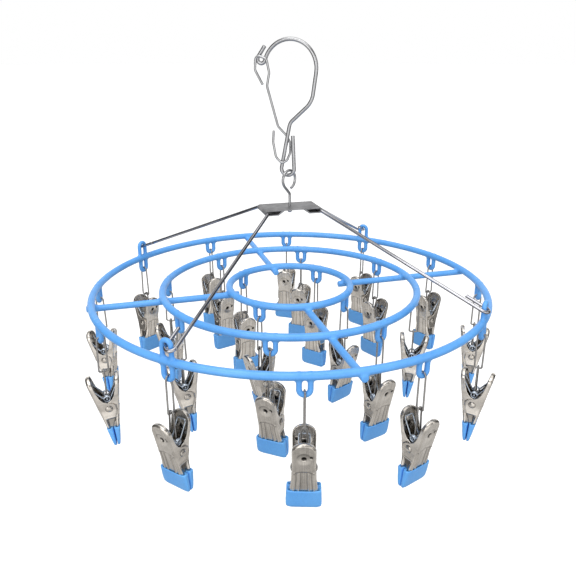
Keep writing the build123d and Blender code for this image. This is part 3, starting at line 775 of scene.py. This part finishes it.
# The opening joint's axis carries a clip's turn, and the place of its pivot the clip's lean.
for number, (radius, angle) in enumerate(stations, start=1):
    label = f"clip_{number:02d}"
    axis, pivot = joints[f"{label}_open"]["axis"], Vector(joints[f"{label}_open"]["pos_m"])
    station = Matrix.Translation((*(polar(radius, angle)[:2] * MM), RING_Z * MM)) @ turn_about_z(angle)
    turn = (math.degrees(math.atan2(axis[0], -axis[1])) - angle + 180) % 360 - 180
    turned = station @ turn_about_z(turn)
    lean = math.asin((turned.inverted() @ pivot).x / MM / PIVOT_Z)
    leaned = turned @ Matrix.Translation((0, 0, COIL_Z * MM)) @ Matrix.Rotation(lean, 4, "Y")
    for name, mesh, material, spot, body, slot in (
        ("hanger_metal", hanger_metal, clip_steel, leaned, label, "clip_steel"),
        ("hanger_sleeve", rear_sleeve, sleeve_vinyl, leaned, label, "blue_pvc"),
        ("jaw_metal", jaw_metal, clip_steel, leaned, f"{label}_jaw", "clip_steel"),
        ("jaw_sleeve", front_sleeve, sleeve_vinyl, leaned, f"{label}_jaw", "blue_pvc"),
        ("upper_link", link_for(lean), link_steel, station, label, "clip_steel"),
        ("lower_link", stirrup, link_steel, turned, label, "clip_steel"),
    ):
        piece = place(f"{label}_{name}", mesh, [material], spot)
        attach(piece, body)
        if name.endswith("metal"):
            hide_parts(f"{label}_{name.split('_')[0]}")

# ------------------------------------------------------------------ hook, latch and swivel
HOOK_TURN, SWIVEL_TURN = -34.3, 33.0
HOOK_WIRE, LATCH_WIRE, SWIVEL_WIRE = 1.5, 0.95, 1.05
CROWN, CROWN_TIP, CROWN_SIDE, SIDE_RUN = 20.5, 164.0, -8.0, 21.2
TIP_BEND, TIP_TURN, TIP_STUB = 3.0, 199.0, 9.0
LATCH_FRONT = 2.8  # the latch lies this far in front of the hook's plane
SWIVEL_EYE, SWIVEL_EYE_X, SWIVEL_EYE_Z, SWIVEL_FOOT_Z = 7.3, -0.9, RING_Z + 88.7, RING_Z + 62.7


def upright(turn):
    """Maps (across, up, toward the front) in an upright plane through the Z axis to X, Y, Z."""
    t = math.radians(turn)
    across, front = np.array([math.cos(t), math.sin(t), 0]), np.array([math.sin(t), -math.cos(t), 0])
    return lambda a, b, c=0.0: a * across + b * np.array([0.0, 0.0, 1.0]) + c * front


def direction(degrees):
    """A unit vector in a plane."""
    return np.array([math.cos(math.radians(degrees)), math.sin(math.radians(degrees))])


def circle_points(centre, radius, start, end):
    """Points on a circle in a plane, angles in degrees."""
    count = max(3, int(abs(end - start) / 5) + 1)
    return [np.asarray(centre) + radius * direction(t) for t in np.linspace(start, end, count)]


def wire_piece(name, path, radius, material, body, sides=20, end_round=0.35, extra=()):
    """A bent wire in place of the CAD node of its name."""
    mesh = build_mesh(name, [(*tube(resample(path, 1.0), radius, sides, end_round=end_round), 0), *extra])
    piece = place(f"{name}_wire", mesh, [material])
    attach(piece, body)
    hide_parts(name)


hook_at = upright(HOOK_TURN)
tip_centre = (CROWN + TIP_BEND) * direction(CROWN_TIP)
tip_start = CROWN_TIP + 180 - TIP_TURN
stub_foot = tip_centre + TIP_BEND * direction(tip_start)
stub_end = stub_foot - TIP_STUB * direction(tip_start + 90)
side = CROWN * direction(CROWN_SIDE)
corner = side - SIDE_RUN * direction(CROWN_SIDE + 90)
flat = [stub_end, *circle_points(tip_centre, TIP_BEND, tip_start, CROWN_TIP + 180)]
flat += circle_points((0, 0), CROWN, CROWN_TIP, CROWN_SIDE)[1:-1]
path = [hook_at(*p) for p in flat]
shank = [side, corner, (0.1, -39.4), (-7.9, -79.4), (3.8, -79.4), (2.4, -49.2)]
path += rounded([hook_at(*p) for p in shank], (16.0, 8.0, 5.0, 5.0), 6.0)
wire_piece("hook", path, HOOK_WIRE, hook_wire, "hook")

grip = [(-20.8, -11.4), (-26.8, -1.0), (-26.0, 9.8), (-17.6, 6.8), (-15.4, -3.0), (-17.3, -12.5)]
latch_spots = [(*spot, LATCH_FRONT) for spot in grip]
latch_spots += [
    (-10.4, -42.5, -2.4), (-3.4, -49.6, -3.0), (-0.4, -55.0, -2.7), (0.3, -62.0, 0.0), (-1.4, -67.4, 2.4),
    (-5.4, -69.8, 3.0), (-10.4, -65.5, 2.8), (-12.9, -54.0, 2.2), (-12.4, -45.5, 2.0),
]
latch_radii = (4.0, 3.0, 3.0, 5.0, 8.0, 4.0, 2.6, 2.6, 2.6, 2.2, 2.4, 5.0, 5.0)
path = rounded([hook_at(*p) for p in latch_spots], latch_radii, 6.0)
wire_piece("latch", path, LATCH_WIRE, hook_wire, "latch", 16)

swivel_at = upright(SWIVEL_TURN)
eye_path = circle_points((SWIVEL_EYE_X, SWIVEL_EYE_Z), SWIVEL_EYE, -70.0, 225.0)
kink = (0.0, eye_path[-1][1] + eye_path[-1][0])
neck = rounded([swivel_at(*p) for p in (eye_path[-1], kink, (0.0, SWIVEL_FOOT_Z))], 3.0)
path = [swivel_at(*p) for p in eye_path[:-1]] + neck
head = lathe(
    [(-0.1, 0.9), (-0.05, 1.25), (0.25, 1.62), (0.7, 1.75), (3.3, 1.75), (3.6, 1.6), (3.68, 1.2)],
    (0, 0, SWIVEL_FOOT_Z),
    Z,
)
wire_piece("swivel", path, SWIVEL_WIRE, hook_wire, "swivel", 16, extra=[(*head, 0)])

# ------------------------------------------------------------------ bows
PLATE_TOP_Z, PLATE_SHEET, HEM_BORE = RING_Z + 67.5, 0.8, 1.36
HEM_X, HEM_Z = 21.6, PLATE_TOP_Z - PLATE_SHEET - HEM_BORE
BOW_WIRE, BOW_CORNER, BOW_CORNER_BEND, BOW_RETURN = 1.3, 14.4, 3.5, 16.0
BOW_EYE_Z = RING_Z + 10.7  # height of the bow's wire in the arm eye
shift = EYE_BEND * math.cos(math.radians(45))
eye_spot = OUTER * math.cos(math.radians(45))
leg = np.array([eye_spot - shift, eye_spot + shift, BOW_EYE_Z])
bow_corner = np.array([HEM_X, BOW_CORNER, HEM_Z])
reach = leg - bow_corner
along = unit(reach)
level = unit(np.array([reach[1], -reach[0], 0.0]))
across = np.cross(unit(np.cross(reach, level)), along)
slip = math.asin(EYE_BEND / np.linalg.norm(reach))
forward = math.cos(slip) * along - math.sin(slip) * across
sideways = math.sin(slip) * along + math.cos(slip) * across
touch, back_spot = leg - EYE_BEND * sideways, leg + EYE_BEND * sideways
half_bow = rounded([(HEM_X, 0, HEM_Z), bow_corner, touch], BOW_CORNER_BEND)
half_bow += arc(leg, EYE_BEND, 0, 180, -sideways, forward)[1:]
half_bow.append(back_spot + unit(bow_corner - touch) * BOW_RETURN)
bow_path = [p * MIRROR_Y for p in half_bow[:0:-1]] + half_bow[1:]
for name, flip in (("right_bow", 1), ("left_bow", -1)):
    path = [p * np.array([flip, 1, 1]) for p in bow_path]
    wire_piece(name, path, BOW_WIRE, bright_wire, name, 18, 0.3)

# ------------------------------------------------------------------ centre plate
# The CAD's own plate stays, with a better material.
plate_materials = frame["nodes"]["centre_plate"].data.materials
plate_materials.clear()
plate_materials.append(plate_steel)

# ------------------------------------------------------------------ stage, light and camera
floor_mesh = bpy.data.meshes.new("floor")
floor_work = bmesh.new()
bmesh.ops.create_circle(floor_work, cap_ends=True, radius=60.0, segments=96)
floor_work.to_mesh(floor_mesh)
floor_work.free()
paper = Shader("pale_floor")
mottle = paper.noise(paper.position(), 3.0)
paper.set(Base_Color=paper.ramp(mottle, [(0.3, 0.95), (0.7, 0.97)]), Roughness=0.9)
paper.set(Emission_Color=(1.0, 1.0, 1.0), Emission_Strength=0.32)
FLOOR_DROP = 0.30
floor = place("floor", floor_mesh, [paper.material], Matrix.Translation((0, 0, cad_low.z - FLOOR_DROP)))
floor.visible_glossy = False
floor.visible_diffuse = False


def softbox(name, spot, width, height, power):
    """A rectangular lamp aimed at the middle of the rings."""
    light = bpy.data.lights.new(name, "AREA")
    light.shape = "RECTANGLE"
    light.size = width
    light.size_y = height
    light.energy = power
    obj = bpy.data.objects.new(name, light)
    bpy.context.scene.collection.objects.link(obj)
    obj.location = spot
    obj.rotation_euler = (ring_centre - Vector(spot)).to_track_quat("-Z", "Y").to_euler()


ring_centre = Vector((0, 0, RING_Z * MM))
softbox("top_light", (-0.5, -0.6, 1.5), 1.4, 1.4, 9.0)
softbox("left_light", (-1.4, -1.3, 0.5), 0.9, 0.9, 4.0)
softbox("right_light", (1.3, -0.9, 0.3), 0.4, 1.4, 2.0)

CAMERA_AZIMUTH, CAMERA_ELEVATION, CAMERA_DISTANCE = math.radians(-16.3), math.radians(20.0), 0.523
toward = Vector((math.sin(CAMERA_AZIMUTH), -math.cos(CAMERA_AZIMUTH), 0))
back = toward * math.cos(CAMERA_ELEVATION) + Vector((0, 0, math.sin(CAMERA_ELEVATION)))
right = Vector((-toward.y, toward.x, 0))
up = back.cross(right)

# A studio of white walls with dark gaps between them, which the wires and clips reflect. The
# camera sees plain white, and dull surfaces are lit by a soft sky that is brighter in front.
world = bpy.data.worlds.new("studio")
world.use_nodes = True
bpy.context.scene.world = world
sky = Nodes(world.node_tree)
split = sky.node("ShaderNodeSeparateXYZ")
sky.link(sky.node("ShaderNodeTexCoord").outputs["Generated"], split.inputs["Vector"])
facing_x = sky.maths("MULTIPLY", split.outputs["X"], toward.x)
facing_y = sky.maths("MULTIPLY", split.outputs["Y"], toward.y)
facing = sky.maths("ADD", facing_x, facing_y)
around = sky.maths("ADD", sky.maths("MULTIPLY", facing, 0.5), 0.5)
height = sky.maths("ADD", sky.maths("MULTIPLY", split.outputs["Z"], 0.5), 0.5)
wall_levels = [(0.0, 1.0), (0.14, 1.0), (0.19, 0.05), (0.42, 0.05), (0.48, 0.22)]
wall_levels += [(0.66, 0.14), (0.74, 0.05), (0.83, 0.9), (1.0, 1.25)]
walls = sky.ramp(around, wall_levels)
below = sky.ramp(height, [(0.0, 0.24), (0.05, 0.46), (0.16, 0.65), (0.27, 0.70)])
above = sky.ramp(height, [(0.72, 0.15), (0.86, 0.12), (0.92, 1.25), (1.0, 1.3)])
low_share = sky.ramp(height, [(0.25, 1.0), (0.31, 0.0)])
high_share = sky.ramp(height, [(0.70, 0.0), (0.76, 1.0)])
studio = sky.mix("MIX", high_share, sky.mix("MIX", low_share, walls, below), above)
forward_light = sky.maths("ADD", sky.maths("MULTIPLY", facing, 0.35), sky.maths("MULTIPLY", height, 0.7))
ambient = sky.ramp(forward_light, [(0.0, 0.16), (0.35, 0.42), (0.6, 0.95), (0.9, 1.25)])
rays = sky.node("ShaderNodeLightPath")
colour = sky.mix("MIX", rays.outputs["Is Glossy Ray"], ambient, studio)
colour = sky.mix("MIX", rays.outputs["Is Camera Ray"], colour, (1.0, 1.0, 1.0))
background = sky.tree.nodes["Background"]
sky.link(colour, background.inputs["Color"])
background.inputs["Strength"].default_value = 1.0

lens = bpy.data.cameras.new("camera")
lens.sensor_width = 36.0
lens.lens = 38.91
lens.clip_start = 0.01
camera = bpy.data.objects.new("camera", lens)
bpy.context.scene.collection.objects.link(camera)
camera.location = ring_centre + back * CAMERA_DISTANCE
aim = ring_centre - right * 0.0014 - up * 0.0026
camera.rotation_euler = (aim - camera.location).to_track_quat("-Z", "Y").to_euler()
bpy.context.scene.camera = camera
bpy.context.scene.view_settings.view_transform = "Standard"
bpy.context.scene.view_settings.look = "None"
